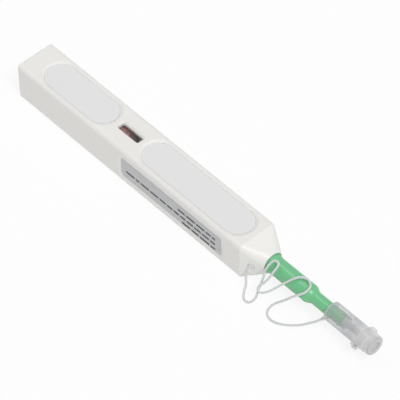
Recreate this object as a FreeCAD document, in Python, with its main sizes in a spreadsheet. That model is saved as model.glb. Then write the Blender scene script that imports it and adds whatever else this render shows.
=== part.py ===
"""Fibre connector cleaning pen with a sliding nozzle, tape reels, a tethered guide cap and a flip lid.

The pen lies on its flat underside. +X runs to the tip, -Y is the side that carries the label and
+Z is up. The origin is under the middle of the pen, on the surface that it lies on. Every length
along the pen is counted from its rear end and moved to the origin by rear_end().
"""
import FreeCAD, Part

import math
import os

import Sketcher
from FreeCAD import Placement, Rotation, Vector

SIZES = [
    ("body_length", 150.6, "straight part of the case, rear end to shoulder"),
    ("body_width", 21.2, "case across, Y"),
    ("body_height", 20.6, "case, Z"),
    ("edge_radius", 2.0, "rounding of the two upper long edges"),
    ("lower_edge_radius", 1.1, "rounding of the two lower long edges"),
    ("rear_edge_radius", 0.9, "rounding round the rear face"),
    ("nose_length", 10.4, "shoulder to mouth"),
    ("nose_end_width", 10.9, "outside of the nose at the mouth"),
    ("nose_end_radius", 5.2, "corner radius of the nose at the mouth"),
    ("mouth_radius", 5.15, "round hole that the nozzle slides through"),
    ("side_wall", 1.6, "case side walls"),
    ("ceiling", 2.2, "case top wall"),
    ("rear_wall", 2.0, "case rear wall"),
    ("front_wall", 2.0, "case wall behind the shoulder"),
    ("spring_wall_place", 14.0, "rear end to the wall that the return spring pushes on"),
    ("spring_wall", 2.0, "thickness of that wall"),
    ("panel_width", 15.6, "finger panels across"),
    ("panel_thickness", 0.6, "finger panels"),
    ("panel_bevel_width", 1.5, "sloping border round each finger panel"),
    ("panel_bevel_depth", 0.7, "depth of that border"),
    ("rear_panel_place", 10.9, "rear end to rear panel"),
    ("rear_panel_length", 44.9, "rear finger panel"),
    ("front_panel_place", 77.8, "rear end to front panel"),
    ("front_panel_length", 68.7, "front finger panel"),
    ("fit_gap", 0.05, "clearance of pieces pressed or laid together"),
    ("window_place", 60.0, "rear end to window opening"),
    ("window_length", 13.5, "window opening along the pen"),
    ("window_width", 3.8, "window opening across"),
    ("window_corner", 0.8, "corner radius of the window"),
    ("window_bevel", 0.8, "sloping border of the window"),
    ("pane_lip", 1.2, "flange of the pane under the case top"),
    ("pane_lip_thickness", 0.5, "thickness of that flange"),
    ("label_place", 71.2, "rear end to label"),
    ("label_length", 66.8, "label along the pen"),
    ("label_low", 3.5, "underside to lower edge of the label"),
    ("label_height", 11.3, "label up the side"),
    ("label_corner", 1.5, "corner radius of the label"),
    ("label_bevel", 1.7, "sloping border of the label recess"),
    ("label_recess", 0.5, "depth of the label recess"),
    ("label_thickness", 0.15, "label"),
    ("cover_thickness", 1.8, "bottom cover"),
    ("cover_gap", 0.1, "cover to case walls"),
    ("rail_height", 0.9, "runners on the cover"),
    ("rail_width", 1.0, "runners on the cover"),
    ("running_gap", 0.3, "carriage to rails and walls"),
    ("carriage_rear", 40.0, "rear end to rear face of the carriage"),
    ("bulkhead", 3.0, "carriage cross walls"),
    ("cheek", 1.3, "carriage side plates"),
    ("middle_wall_gap", 3.1, "supply reel to the carriage's middle wall"),
    ("front_wall_place", 124.0, "rear end to the carriage's front wall"),
    ("headroom", 1.0, "carriage and reels to the case top above them"),
    ("spring_post_length", 10.0, "post that centres the return spring"),
    ("spring_post_radius", 2.4, "post that centres the return spring"),
    ("spring_radius", 3.6, "return spring, middle of the wire"),
    ("spring_wire", 0.8, "return spring wire"),
    ("spring_turns", 6, "return spring"),
    ("spigot_radius", 4.3, "carriage spigot inside the nozzle"),
    ("spigot_length", 10.0, "carriage spigot inside the nozzle"),
    ("takeup_place", 58.6, "rear end to the take-up reel axle"),
    ("reel_gap", 2.0, "between the rims of the two reels"),
    ("reel_side_gap", 0.5, "reels to the carriage cheek, -Y side"),
    ("gear_side_gap", 1.2, "drive gear to the carriage cheek, +Y side"),
    ("flange", 0.9, "reel flanges"),
    ("hub_radius", 3.0, "supply reel hub"),
    ("roll_margin", 0.6, "fresh tape to the rim of the supply reel"),
    ("drum_margin", 1.1, "take-up drum, at its ribs, to the rim of its reel"),
    ("drum_rib", 0.8, "height of the ribs on the take-up drum"),
    ("drum_ribs", 16, "ribs on the take-up drum"),
    ("axle_radius", 1.5, "reel axles"),
    ("axle_clearance", 0.08, "reels on their axles"),
    ("gear_module", 0.8, "drive gear and rack"),
    ("gear_teeth", 10, "drive gear"),
    ("gear_width", 2.2, "drive gear"),
    ("tooth_backlash", 0.24, "play between gear and rack teeth"),
    ("rack_width", 1.8, "rack"),
    ("rack_teeth", 8, "rack"),
    ("stroke", 12.0, "travel of the nozzle into the case"),
    ("follower_from_wall", 9.0, "middle wall to the cam follower pin"),
    ("follower_radius", 0.7, "cam follower pin"),
    ("post_radius", 1.3, "post that carries the follower pin"),
    ("cam_radius", 3.4, "spiral cam"),
    ("cam_groove", 3.4, "spiral groove along the pen"),
    ("cam_groove_depth", 1.2, "spiral groove"),
    ("cam_margin", 1.6, "spiral groove past the pin at both ends"),
    ("cam_wall", 3.0, "cam body past the groove at both ends"),
    ("journal_radius", 1.2, "rear bearing of the head shaft"),
    ("bearing_clearance", 0.08, "head shaft in its bearings"),
    ("shaft_radius", 0.9, "head shaft inside the guide tube"),
    ("shaft_reach", 0.4, "head shaft past the guide tip"),
    ("thread_width", 0.5, "cleaning thread"),
    ("thread_thickness", 0.15, "cleaning thread"),
    ("nozzle_tail", 15.0, "nozzle inside the mouth"),
    ("nozzle_base_radius", 4.85, "nozzle in the mouth"),
    ("nozzle_base_reach", 1.0, "full base radius past the mouth"),
    ("flare_length", 3.0, "hollow curve from the base to the thick part"),
    ("flare_curve", 5.2, "radius of that curve"),
    ("thick_radius", 4.45, "thick part of the nozzle"),
    ("thick_end", 22.5, "mouth to the end of the thick part"),
    ("shoulder_mid", 25.9, "mouth to the middle of the shoulder"),
    ("shoulder_mid_radius", 3.75, "nozzle at the middle of the shoulder"),
    ("shoulder_end", 28.3, "mouth to the thin part"),
    ("shoulder_round", 4.6, "rounding of the shoulder"),
    ("shoulder_hollow", 4.2, "hollow curve at the foot of the shoulder"),
    ("thin_radius", 3.1, "thin part of the nozzle"),
    ("nozzle_reach", 45.85, "mouth to the nozzle's front end"),
    ("nozzle_bore", 2.4, "bore of the thin part"),
    ("nozzle_wall", 1.1, "wall of the thick part"),
    ("tube_radius", 2.3, "guide tube"),
    ("tip_radius", 1.25, "guide tip, enters a 2.5 mm sleeve"),
    ("tip_length", 8.6, "guide tip past the nozzle"),
    ("tip_chamfer", 0.25, "guide tip"),
    ("cap_overlap", 8.65, "cap over the nozzle"),
    ("cap_radius", 4.85, "guide cap outside"),
    ("cap_length", 20.0, "guide cap barrel"),
    ("cap_bore_clearance", 0.08, "cap on the thin part of the nozzle"),
    ("cap_bore_depth", 10.2, "wide bore of the cap"),
    ("cap_inner_radius", 1.6, "cap bore round the guide tip"),
    ("cap_inner_depth", 18.0, "cap rim to the end of that bore"),
    ("port_radius", 1.27, "front port for a 2.5 mm ferrule"),
    ("cap_rim_chamfer", 0.35, "cap rear rim"),
    ("neck_length", 3.4, "cone inside the lid"),
    ("neck_base_radius", 3.5, "cone inside the lid"),
    ("neck_end_radius", 2.6, "cone inside the lid"),
    ("cap_roll", 30.0, "turn of cap and lid about the pen's axis, degrees"),
    ("lid_gap", 0.15, "lid to cap barrel"),
    ("lid_length", 7.65, "lid"),
    ("lid_ring_radius", 5.15, "raised ring of the lid"),
    ("lid_ring_length", 3.85, "raised ring of the lid"),
    ("lid_bore_radius", 3.75, "inside of the lid"),
    ("lid_bore_depth", 5.6, "inside of the lid"),
    ("lid_edge", 0.8, "rounding of the lid's front edge"),
    ("lid_dish_radius", 2.4, "round recess in the lid's face"),
    ("lid_dish_depth", 0.5, "round recess in the lid's face"),
    ("hinge_reach", 6.0, "pen's axis to the lid hinge"),
    ("hinge_setback", 0.3, "lid hinge behind the lid's rim"),
    ("knuckle_radius", 0.8, "lid hinge knuckles"),
    ("knuckle_width", 1.6, "knuckle of the lid"),
    ("knuckle_gap", 0.15, "between the knuckles"),
    ("ear_width", 0.9, "each knuckle of the cap"),
    ("hinge_pin_radius", 0.4, "lid hinge pin"),
    ("hinge_clearance", 0.07, "lid knuckle on its pin"),
    ("tab_reach", 6.1, "pen's axis to the top of the thumb tab"),
    ("tab_length", 2.6, "thumb tab along the pen"),
    ("tab_width", 2.6, "thumb tab across"),
    ("hole_radius", 1.7, "tether hole in the nose"),
    ("hole_depth", 1.5, "tether hole in the nose"),
    ("hole_from_mouth", 5.5, "mouth to the middle of the tether hole"),
    ("hole_drop", 0.6, "pen's axis down to the middle of the tether hole"),
    ("plug_radius", 1.6, "tether plug"),
    ("plug_proud", 0.35, "tether plug past the nose"),
    ("stub_out", 1.6, "nose to the end of the plug's stub"),
    ("stub_back", 0.9, "middle of the hole to the end of the stub, rearwards"),
    ("stub_drop", 2.1, "middle of the hole to the end of the stub, downwards"),
    ("stub_root", 0.3, "root of the stub inside the plug, off its middle"),
    ("nub_forward", 0.3, "rim of the cap to the end of the tether nub"),
    ("nub_out", 0.75, "side of the cap to the end of the tether nub"),
    ("nub_drop", 0.8, "pen's axis down to the end of the tether nub"),
    ("cord_radius", 0.55, "tether"),
]

# Corners of the tether between its ends, millimetres: X from the mouth, Y and Z in the model's frame.
TETHER_ROUTE = [
    (-3.4, -12.9, 3.2),
    (-2.3, -15.4, 1.2),
    (0.3, -18.5, 0.6),
    (4.2, -18.5, 1.3),
    (5.9, -16.1, 3.9),
    (4.9, -13.7, 6.0),
    (3.8, -11.1, 7.6),
    (3.0, -8.9, 9.2),
    (2.3, -7.4, 11.2),
    (2.1, -6.0, 13.3),
    (2.5, -4.6, 15.0),
    (2.9, -3.1, 16.3),
    (4.1, -1.9, 17.1),
    (5.9, -1.9, 16.9),
    (6.7, -3.4, 16.2),
    (6.6, -5.3, 15.0),
    (6.6, -7.3, 13.3),
    (6.3, -9.7, 11.4),
    (5.4, -11.3, 9.9),
    (4.5, -12.3, 8.7),
    (4.5, -13.7, 7.8),
    (6.1, -14.4, 7.3),
    (7.9, -13.6, 7.7),
    (9.5, -12.1, 8.6),
    (10.7, -10.2, 9.7),
    (11.9, -8.1, 11.0),
    (13.1, -6.4, 12.5),
    (14.5, -4.7, 14.0),
    (15.9, -2.3, 15.4),
    (17.9, 0.3, 16.2),
    (21.6, 1.7, 16.2),
    (24.8, -0.4, 15.6),
    (24.9, -4.2, 14.8),
    (22.6, -6.2, 13.1),
    (20.0, -7.1, 10.3),
    (17.6, -7.9, 7.2),
    (15.2, -8.9, 4.5),
    (13.0, -10.5, 2.7),
    (12.1, -13.2, 1.6),
    (13.2, -16.4, 0.8),
    (16.5, -17.8, 0.6),
    (20.1, -17.2, 0.8),
    (23.4, -15.7, 1.2),
    (26.3, -13.8, 1.8),
    (29.0, -11.8, 2.6),
    (31.4, -9.8, 3.9),
    (33.6, -8.2, 5.6),
]
ARC_SHARE = 0.45
PRESSURE_ANGLE = math.radians(25)
TOOTH_HEIGHT = 0.8
TOOTH_DEPTH = 1.0
STUB_RUN = 2.3
NUB_LENGTH = 1.9
NUB_LEAN = (-1.8, -1.5, -2.1)

doc = FreeCAD.newDocument("CleaningPen")
sheet = doc.addObject("Spreadsheet::Sheet", "Sizes")
for row, (alias, number, meaning) in enumerate(SIZES, start=1):
    sheet.set(f"A{row}", alias)
    sheet.set(f"B{row}", str(number))
    sheet.set(f"C{row}", meaning)
    sheet.setAlias(f"B{row}", alias)
doc.recompute()


class Size:
    """A length that knows its value and the spreadsheet expression that gives it."""

    def __init__(self, value, text):
        self.value = value
        self.text = text

    def __add__(self, other):
        other = as_size(other)
        return Size(self.value + other.value, f"({self.text} + {other.text})")

    def __sub__(self, other):
        other = as_size(other)
        return Size(self.value - other.value, f"({self.text} - {other.text})")

    def __mul__(self, factor):
        factor = as_size(factor)
        return Size(self.value * factor.value, f"({self.text} * {factor.text})")

    def __truediv__(self, divisor):
        divisor = as_size(divisor)
        return Size(self.value / divisor.value, f"({self.text} / {divisor.text})")

    def __neg__(self):
        return Size(-self.value, f"(-{self.text})")

    def __rsub__(self, other):
        return as_size(other) - self


def as_size(number):
    """Give a plain number as a Size, and a Size as it is."""
    return number if isinstance(number, Size) else Size(float(number), repr(float(number)))


def cell(alias):
    """Read one size from the spreadsheet."""
    return Size(float(sheet.get(alias)), f"Sizes.{alias}")


AXIS_HEIGHT = cell("body_height") / 2
MOUTH = cell("body_length") + cell("nose_length")
NOZZLE_END = MOUTH + cell("nozzle_reach")
CAP_START = NOZZLE_END - cell("cap_overlap")
CAP_END = CAP_START + cell("cap_length")
LID_START = CAP_END + cell("lid_gap")
PEN_LENGTH = LID_START + cell("lid_length")
REAR_END = -PEN_LENGTH / 2
CEILING_HEIGHT = cell("body_height") - cell("ceiling")
CAVITY_HALF = cell("body_width") / 2 - cell("side_wall")
CAVITY_END = cell("body_length") - cell("front_wall")
CARRIAGE_LOW = cell("cover_thickness") + cell("rail_height") + cell("running_gap")
CARRIAGE_HALF = CAVITY_HALF - cell("running_gap")
PITCH_RADIUS = cell("gear_module") * cell("gear_teeth") / 2
CHEEK_INSIDE = CARRIAGE_HALF - cell("cheek")
REEL_RADIUS = CEILING_HEIGHT - AXIS_HEIGHT - cell("headroom")
ROLL_RADIUS = REEL_RADIUS - cell("roll_margin")
DRUM_RADIUS = REEL_RADIUS - cell("drum_margin")
REEL_NEAR_SIDE = -CHEEK_INSIDE + cell("reel_side_gap")
REEL_FAR_SIDE = CHEEK_INSIDE - cell("gear_side_gap") - cell("gear_width")
SUPPLY_PLACE = cell("takeup_place") + REEL_RADIUS * 2 + cell("reel_gap")
MIDDLE_WALL_PLACE = SUPPLY_PLACE + REEL_RADIUS + cell("middle_wall_gap")
FOLLOWER_PLACE = MIDDLE_WALL_PLACE + cell("bulkhead") + cell("follower_from_wall")
TAIL_START = MOUTH - cell("nozzle_tail")
CAM_START = FOLLOWER_PLACE - cell("cam_margin") - cell("cam_groove") / 2 - cell("cam_wall")
CAM_END = FOLLOWER_PLACE + cell("stroke") + cell("cam_margin") + cell("cam_groove") / 2 + cell("cam_wall")
TUBE_START = cell("front_wall_place")
TIP_END = NOZZLE_END + cell("tip_length")


def bind(thing, prop, value):
    """Tie one property of a document object to the spreadsheet."""
    thing.setExpression(prop, as_size(value).text)


def put(thing, along, across, up):
    """Place an object by its distance from the rear end, from the middle plane and from the underside."""
    bind(thing, "Placement.Base.x", REAR_END + along)
    bind(thing, "Placement.Base.y", across)
    bind(thing, "Placement.Base.z", up)
    return thing


def block(name, along, across, up):
    """Make a box from its (start, end) pairs along X, Y and Z."""
    box = doc.addObject("Part::Box", name)
    for prop, (start, end) in zip(("Length", "Width", "Height"), (along, across, up)):
        bind(box, prop, as_size(end) - start)
    return put(box, along[0], across[0], up[0])


def rod(name, along, radius):
    """Make a cylinder on the pen's axis."""
    cylinder = doc.addObject("Part::Cylinder", name)
    bind(cylinder, "Radius", radius)
    bind(cylinder, "Height", as_size(along[1]) - along[0])
    cylinder.Placement = Placement(Vector(), Rotation(Vector(0, 1, 0), 90))
    return put(cylinder, along[0], 0, AXIS_HEIGHT)


def cross_rod(name, place, across, radius, up=AXIS_HEIGHT):
    """Make a cylinder that lies across the pen."""
    cylinder = doc.addObject("Part::Cylinder", name)
    bind(cylinder, "Radius", radius)
    bind(cylinder, "Height", as_size(across[1]) - across[0])
    cylinder.Placement = Placement(Vector(), Rotation(Vector(1, 0, 0), -90))
    return put(cylinder, place, across[0], up)


def post(name, place, up, radius):
    """Make an upright cylinder in the middle plane."""
    cylinder = doc.addObject("Part::Cylinder", name)
    bind(cylinder, "Radius", radius)
    bind(cylinder, "Height", as_size(up[1]) - up[0])
    return put(cylinder, place, 0, up[0])


def fuse(name, shapes):
    """Join solids into one."""
    joined = doc.addObject("Part::MultiFuse", name)
    joined.Shapes = shapes
    joined.Refine = True
    return joined


def cut(name, base, tools):
    """Take one or more solids out of a base."""
    taken = doc.addObject("Part::Cut", name)
    taken.Base = base
    taken.Tool = tools[0] if len(tools) == 1 else fuse(name + "_tools", tools)
    taken.Refine = True
    return taken


def feature(name, shape):
    """Hold a shape made with Part's own functions."""
    holder = doc.addObject("Part::Feature", name)
    holder.Shape = shape
    return holder


def plane_of(body, role):
    """Find one of a body's three origin planes."""
    return [item for item in body.Origin.OriginFeatures if item.Role == role][0]


def new_sketch(body, name, role, offset=None):
    """Start a sketch on an origin plane, moved along the plane's normal by offset."""
    sketch = body.newObject("Sketcher::SketchObject", name)
    sketch.AttachmentSupport = (plane_of(body, role), [""])
    sketch.MapMode = "FlatFace"
    if offset is not None:
        bind(sketch, "AttachmentOffset.Base.z", offset)
    return sketch


def lock_point(sketch, edge, end, point):
    """Tie a sketch point's two coordinates to the spreadsheet."""
    for kind, own_axis, value in (("DistanceX", -2, point[0]), ("DistanceY", -1, point[1])):
        value = as_size(value)
        if abs(value.value) < 1e-9:
            sketch.addConstraint(Sketcher.Constraint("PointOnObject", edge, end, own_axis))
            continue
        index = sketch.addConstraint(Sketcher.Constraint(kind, -1, 1, edge, end, value.value))
        sketch.setExpression(f"Constraints[{index}]", value.text)


def arc_between(start, end, radius, turn):
    """Give the arc of a circle between two points; turn is 1 for anticlockwise, -1 for clockwise."""
    chord = end - start
    half = chord.Length / 2
    rise = math.sqrt(max(radius * radius - half * half, 0.0))
    middle = (start + end) / 2
    centre = middle + Vector(-chord.y, chord.x, 0).normalize() * rise * turn
    first, last = (start, end) if turn > 0 else (end, start)
    angles = [math.atan2(p.y - centre.y, p.x - centre.x) for p in (first, last)]
    if angles[1] < angles[0]:
        angles[1] += 2 * math.pi
    return Part.ArcOfCircle(Part.Circle(centre, Vector(0, 0, 1), radius), angles[0], angles[1])


def outline(sketch, corners):
    """Draw a closed outline.

    Each corner is (x, y), or (x, y, radius, turn) where an arc leads to the next corner.
    """
    places = [Vector(as_size(c[0]).value, as_size(c[1]).value, 0) for c in corners]
    ends = []
    for number, corner in enumerate(corners):
        start, end = places[number], places[(number + 1) % len(corners)]
        if len(corner) == 2:
            edge = sketch.addGeometry(Part.LineSegment(start, end))
            ends.append((edge, 1, 2))
            continue
        radius, turn = corner[2:]
        edge = sketch.addGeometry(arc_between(start, end, radius.value, turn))
        ends.append((edge, 1, 2) if turn > 0 else (edge, 2, 1))
        index = sketch.addConstraint(Sketcher.Constraint("Radius", edge, radius.value))
        sketch.setExpression(f"Constraints[{index}]", radius.text)
    for number, (edge, first, last) in enumerate(ends):
        following, next_first, next_last = ends[(number + 1) % len(ends)]
        sketch.addConstraint(Sketcher.Constraint("Coincident", edge, last, following, next_first))
        lock_point(sketch, edge, first, corners[number])


def rounded_box(sketch, along, up, radius, low_radius=None):
    """Draw a rectangle with round corners; low_radius is for its two lower ones."""
    (left, right), (low, high) = [tuple(as_size(v) for v in pair) for pair in (along, up)]
    radius = as_size(radius)
    under = radius if low_radius is None else low_radius
    outline(sketch, [
        (left + under, low), (right - under, low, under, 1),
        (right, low + under), (right, high - radius, radius, 1),
        (right - radius, high), (left + radius, high, radius, 1),
        (left, high - radius), (left, low + under, under, 1),
    ])


def stadium(sketch, start, length, width):
    """Draw a slot shape with round ends, on the middle plane."""
    radius = as_size(width) / 2
    end = as_size(start) + length
    outline(sketch, [
        (as_size(start) + radius, -radius), (end - radius, -radius, radius, 1),
        (end, 0, radius, 1), (end - radius, radius),
        (as_size(start) + radius, radius, radius, 1), (start, 0, radius, 1),
    ])


def circle(sketch, centre, radius):
    """Draw a circle."""
    edge = sketch.addGeometry(Part.Circle(Vector(as_size(centre[0]).value, as_size(centre[1]).value, 0),
                                          Vector(0, 0, 1), radius.value))
    index = sketch.addConstraint(Sketcher.Constraint("Radius", edge, radius.value))
    sketch.setExpression(f"Constraints[{index}]", radius.text)
    lock_point(sketch, edge, 3, centre)


def new_body(name):
    """Start a PartDesign body."""
    return doc.addObject("PartDesign::Body", name)


def pad(body, sketch, name, length):
    """Pad a sketch along its normal."""
    result = body.newObject("PartDesign::Pad", name)
    result.Profile = (sketch, [""])
    bind(result, "Length", length)
    return result


def pocket(body, sketch, name, length):
    """Cut a sketch against its normal."""
    result = body.newObject("PartDesign::Pocket", name)
    result.Profile = (sketch, [""])
    bind(result, "Length", length)
    return result


def loft(body, kind, name, first, second):
    """Join two sketches with straight sides; kind is AdditiveLoft or SubtractiveLoft."""
    result = body.newObject(f"PartDesign::{kind}", name)
    result.Profile = (first, [""])
    result.Sections = [(second, [""])]
    result.Ruled = True
    return result


def turned(name, corners):
    """Turn an outline of (distance from the rear end, radius) round the pen's axis."""
    body = new_body(name)
    sketch = new_sketch(body, name + "_outline", "XZ_Plane")
    outline(sketch, corners)
    turn = body.newObject("PartDesign::Revolution", name + "_turn")
    turn.Profile = (sketch, [""])
    turn.ReferenceAxis = (sketch, ["H_Axis"])
    turn.Angle = 360
    return put(body, 0, 0, AXIS_HEIGHT)


def flat_plate(name, draw, top, thickness):
    """Pad a plate down from the height top; draw adds the outline to the sketch."""
    body = new_body(name)
    sketch = new_sketch(body, name + "_outline", "XY_Plane", top - thickness)
    draw(sketch)
    pad(body, sketch, name + "_pad", thickness)
    return put(body, 0, 0, 0)


# ---------------------------------------------------------------------------------------- case
PANELS = {"rear_finger_panel": "rear_panel", "front_finger_panel": "front_panel"}


def hole_frame():
    """Middle of the tether hole on the nose and the outward normal of the slope there."""
    run = cell("nose_length").value
    drop = (cell("body_width").value - cell("nose_end_width").value) / 2
    back = cell("hole_from_mouth").value
    middle = Vector((REAR_END + MOUTH).value - back, 0, (AXIS_HEIGHT - cell("hole_drop")).value)
    middle.y = -(cell("nose_end_width").value / 2 + drop * back / run)
    return middle, Vector(drop, -run, 0).normalize()


def make_case():
    """Case: rounded box and lofted nose, hollow and open below, with recesses for what it carries."""
    body = new_body("case")
    half = cell("body_width") / 2
    end_half = cell("nose_end_width") / 2
    rear = new_sketch(body, "case_section", "YZ_Plane")
    rounded_box(rear, (-half, half), (0, cell("body_height")), cell("edge_radius"), cell("lower_edge_radius"))
    straight = pad(body, rear, "case_straight", cell("body_length"))
    doc.recompute()
    rim = [f"Edge{n}" for n, edge in enumerate(straight.Shape.Edges, 1)
           if all(abs(v.X) < 1e-6 for v in edge.Vertexes)]
    round_rear = body.newObject("PartDesign::Fillet", "case_rear_round")
    round_rear.Base = (straight, rim)
    bind(round_rear, "Radius", cell("rear_edge_radius"))
    shoulder = new_sketch(body, "case_shoulder", "YZ_Plane", cell("body_length"))
    rounded_box(shoulder, (-half, half), (0, cell("body_height")), cell("edge_radius"),
                cell("lower_edge_radius"))
    tip = new_sketch(body, "case_mouth", "YZ_Plane", MOUTH)
    rounded_box(tip, (-end_half, end_half), (AXIS_HEIGHT - end_half, AXIS_HEIGHT + end_half),
                cell("nose_end_radius"))
    loft(body, "AdditiveLoft", "case_nose", shoulder, tip)

    hollow = new_sketch(body, "case_hollow_outline", "XY_Plane", CEILING_HEIGHT)
    rounded_box(hollow, (cell("rear_wall"), CAVITY_END), (-CAVITY_HALF, CAVITY_HALF), cell("edge_radius") / 2)
    pocket(body, hollow, "case_hollow", CEILING_HEIGHT)
    partition = new_sketch(body, "case_spring_wall_outline", "YZ_Plane", cell("spring_wall_place"))
    low = cell("cover_thickness") + cell("cover_gap")
    outline(partition, [(-half + cell("side_wall") / 2, low), (half - cell("side_wall") / 2, low),
                        (half - cell("side_wall") / 2, cell("body_height") - cell("ceiling") / 2),
                        (-half + cell("side_wall") / 2, cell("body_height") - cell("ceiling") / 2)])
    pad(body, partition, "case_spring_wall", cell("spring_wall"))
    mouth = new_sketch(body, "case_bore_outline", "YZ_Plane", MOUTH)
    circle(mouth, (0, AXIS_HEIGHT), cell("mouth_radius"))
    pocket(body, mouth, "case_bore", cell("nose_length") + cell("front_wall"))

    for name, kind in PANELS.items():
        place, length = cell(kind + "_place"), cell(kind + "_length")
        border, slope = cell("panel_bevel_width"), cell("panel_bevel_depth")
        rim_line = new_sketch(body, name + "_rim", "XY_Plane", cell("body_height"))
        stadium(rim_line, place - border, length + border * 2, cell("panel_width") + border * 2)
        floor_line = new_sketch(body, name + "_floor", "XY_Plane", cell("body_height") - slope)
        stadium(floor_line, place, length, cell("panel_width"))
        loft(body, "SubtractiveLoft", name + "_bevel", rim_line, floor_line)
        seat = new_sketch(body, name + "_seat", "XY_Plane", cell("body_height") - slope)
        stadium(seat, place, length, cell("panel_width"))
        pocket(body, seat, name + "_pocket", cell("panel_thickness"))

    start, end = cell("window_place"), cell("window_place") + cell("window_length")
    side, border = cell("window_width") / 2, cell("window_bevel")
    opening = new_sketch(body, "window_outline", "XY_Plane", cell("body_height"))
    rounded_box(opening, (start, end), (-side, side), cell("window_corner"))
    pocket(body, opening, "window_opening", cell("ceiling"))
    rim_line = new_sketch(body, "window_rim", "XY_Plane", cell("body_height"))
    rounded_box(rim_line, (start - border, end + border), (-side - border, side + border),
                cell("window_corner") + border)
    floor_line = new_sketch(body, "window_slope", "XY_Plane", cell("body_height") - border)
    rounded_box(floor_line, (start, end), (-side, side), cell("window_corner"))
    loft(body, "SubtractiveLoft", "window_border", rim_line, floor_line)

    start, end = cell("label_place"), cell("label_place") + cell("label_length")
    low, high = cell("label_low"), cell("label_low") + cell("label_height")
    border = cell("label_bevel")
    rim_line = new_sketch(body, "label_rim", "XZ_Plane", half)
    rounded_box(rim_line, (start - border, end + border), (low - border, high + border),
                cell("label_corner") + border)
    floor_line = new_sketch(body, "label_floor", "XZ_Plane", half - cell("label_recess"))
    rounded_box(floor_line, (start, end), (low, high), cell("label_corner"))
    loft(body, "SubtractiveLoft", "label_recess", rim_line, floor_line)
    put(body, 0, 0, 0)

    drill = doc.addObject("Part::Cylinder", "tether_drill")
    bind(drill, "Radius", cell("hole_radius"))
    bind(drill, "Height", cell("hole_depth") * 2)
    middle, normal = hole_frame()
    drill.Placement = Placement(middle - normal * cell("hole_depth").value,
                                Rotation(Vector(0, 0, 1), normal))
    return cut("case_shell", body, [drill])


def make_panels():
    """Finger panels: slot-shaped plates let into the top of the case."""
    gap = cell("fit_gap")
    plates = {}
    for name, kind in PANELS.items():
        def draw(sketch, kind=kind):
            stadium(sketch, cell(kind + "_place") + gap, cell(kind + "_length") - gap * 2,
                    cell("panel_width") - gap * 2)
        plates[name] = flat_plate(name, draw, cell("body_height") - cell("panel_bevel_depth"),
                                  cell("panel_thickness"))
    return plates


def make_window():
    """Window pane: fills the opening and has a flange under the case top."""
    gap, lip = cell("fit_gap"), cell("pane_lip")
    start, end = cell("window_place"), cell("window_place") + cell("window_length")
    side = cell("window_width") / 2
    body = new_body("window_pane")
    flange = new_sketch(body, "pane_flange_outline", "XY_Plane", CEILING_HEIGHT - cell("pane_lip_thickness"))
    rounded_box(flange, (start - lip, end + lip), (-side - lip, side + lip), cell("window_corner") + lip)
    pad(body, flange, "pane_flange", cell("pane_lip_thickness"))
    plug = new_sketch(body, "pane_plug_outline", "XY_Plane", CEILING_HEIGHT - gap)
    rounded_box(plug, (start + gap, end - gap), (-side + gap, side - gap), cell("window_corner"))
    pad(body, plug, "pane_plug", cell("ceiling") - cell("window_bevel") + gap)
    return put(body, 0, 0, 0)


def make_label():
    """Side label: a thin plate with round corners in its recess."""
    gap = cell("fit_gap")
    body = new_body("side_label")
    floor = cell("body_width") / 2 - cell("label_recess")
    sketch = new_sketch(body, "label_outline", "XZ_Plane", floor)
    rounded_box(sketch, (cell("label_place") + gap, cell("label_place") + cell("label_length") - gap),
                (cell("label_low") + gap, cell("label_low") + cell("label_height") - gap), cell("label_corner"))
    pad(body, sketch, "label_pad", cell("label_thickness"))
    return put(body, 0, 0, 0)


# --------------------------------------------------------------------------------- bottom cover
def rack_shape():
    """Rack: straight teeth under the drive gear, with a gap under the gear's middle at rest."""
    module, teeth = cell("gear_module").value, int(cell("rack_teeth").value)
    pitch = math.pi * module
    line = (AXIS_HEIGHT - PITCH_RADIUS).value
    top, root = line + TOOTH_HEIGHT * module, line - TOOTH_DEPTH * module
    half = pitch / 4 - cell("tooth_backlash").value / 4
    slope = math.tan(PRESSURE_ANGLE)
    first = (REAR_END + cell("takeup_place")).value - (teeth - 2.5) * pitch
    points = []
    for number in range(teeth):
        middle = first + number * pitch
        points += [(middle - half - (line - root) * slope, root), (middle - half + (top - line) * slope, top),
                   (middle + half - (top - line) * slope, top), (middle + half + (line - root) * slope, root)]
    base = (cell("cover_thickness") / 2).value
    points = [(points[0][0], base)] + points + [(points[-1][0], base)]
    side = (REEL_FAR_SIDE + cell("running_gap")).value
    profile = Part.makePolygon([Vector(x, side, z) for x, z in points + points[:1]])
    return Part.Face(profile).extrude(Vector(0, cell("rack_width").value, 0))


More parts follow.
